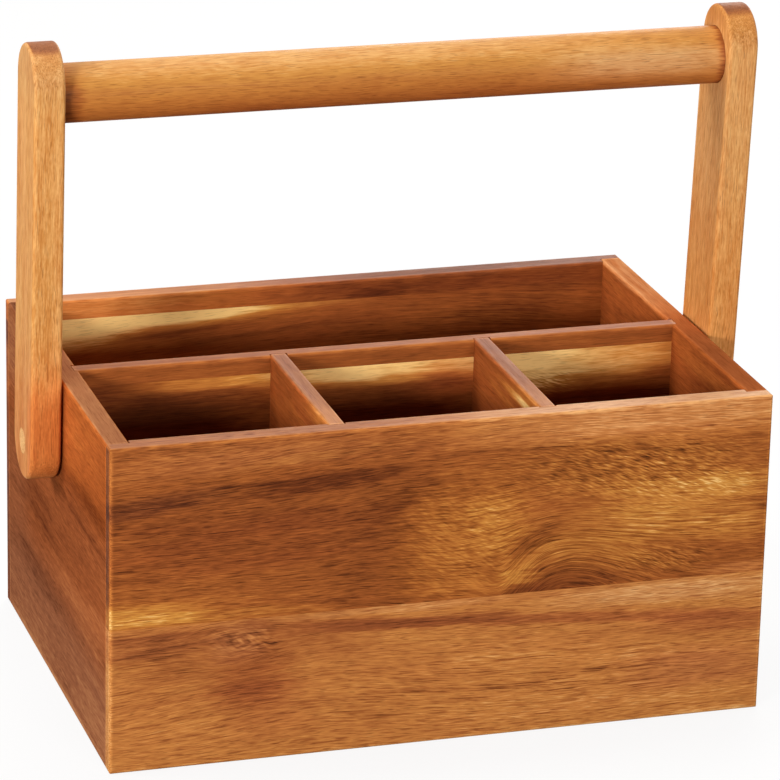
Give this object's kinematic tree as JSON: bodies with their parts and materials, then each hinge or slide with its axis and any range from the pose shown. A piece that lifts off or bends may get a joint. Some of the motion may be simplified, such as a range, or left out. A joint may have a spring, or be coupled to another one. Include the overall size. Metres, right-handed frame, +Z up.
{
  "type": "handled cutlery carrier",
  "caption": "Open wooden box with one long compartment and a row of square cells in front of it, carried by a round grip rod on two arms that swing on pins in the end panels.",
  "frame": {"origin": "middle of the box's footprint, on the surface that it stands on", "axes": "+X to the right along the box's length, +Y to the back, +Z up"},
  "size_m": [0.2858, 0.179, 0.2627],
  "materials": {
    "front_wood": "oiled acacia, satin, horizontal grain",
    "back_wood": "oiled acacia, satin, horizontal grain",
    "end_wood": "oiled acacia, satin, horizontal grain",
    "bottom_wood": "oiled acacia, satin, grain along the length",
    "divider_wood": "oiled acacia, satin, horizontal grain",
    "handle_wood": "oiled acacia sapwood, honey coloured, satin",
    "pin_wood": "pale dowel end grain, sanded flush",
    "washer_nylon": "dark nylon, matt"
  },
  "bodies": {
    "box": {"front_upper_stave": "front_wood", "front_lower_stave": "front_wood", "back_top_stave": "back_wood", "back_middle_stave": "back_wood", "back_lower_stave": "back_wood", "left_end_panel": "end_wood", "right_end_panel": "end_wood", "bottom_front_stave": "bottom_wood", "bottom_middle_stave": "bottom_wood", "bottom_rear_stave": "bottom_wood", "long_divider_top_stave": "divider_wood", "long_divider_middle_stave": "divider_wood", "long_divider_lower_stave": "divider_wood", "left_short_divider": "divider_wood", "right_short_divider": "divider_wood"},
    "handle": {"left_arm": "handle_wood", "right_arm": "handle_wood", "grip_rod": "handle_wood", "left_pivot_pin": "pin_wood", "right_pivot_pin": "pin_wood", "left_washer": "washer_nylon", "right_washer": "washer_nylon"}
  },
  "joints": [
    {"name": "handle_swing", "type": "hinge", "parent": "box", "child": "handle", "pos_m": [0, 0, 0.1025], "axis": [1, 0, 0], "range_deg": [-128.8, 121.2]}
  ]
}
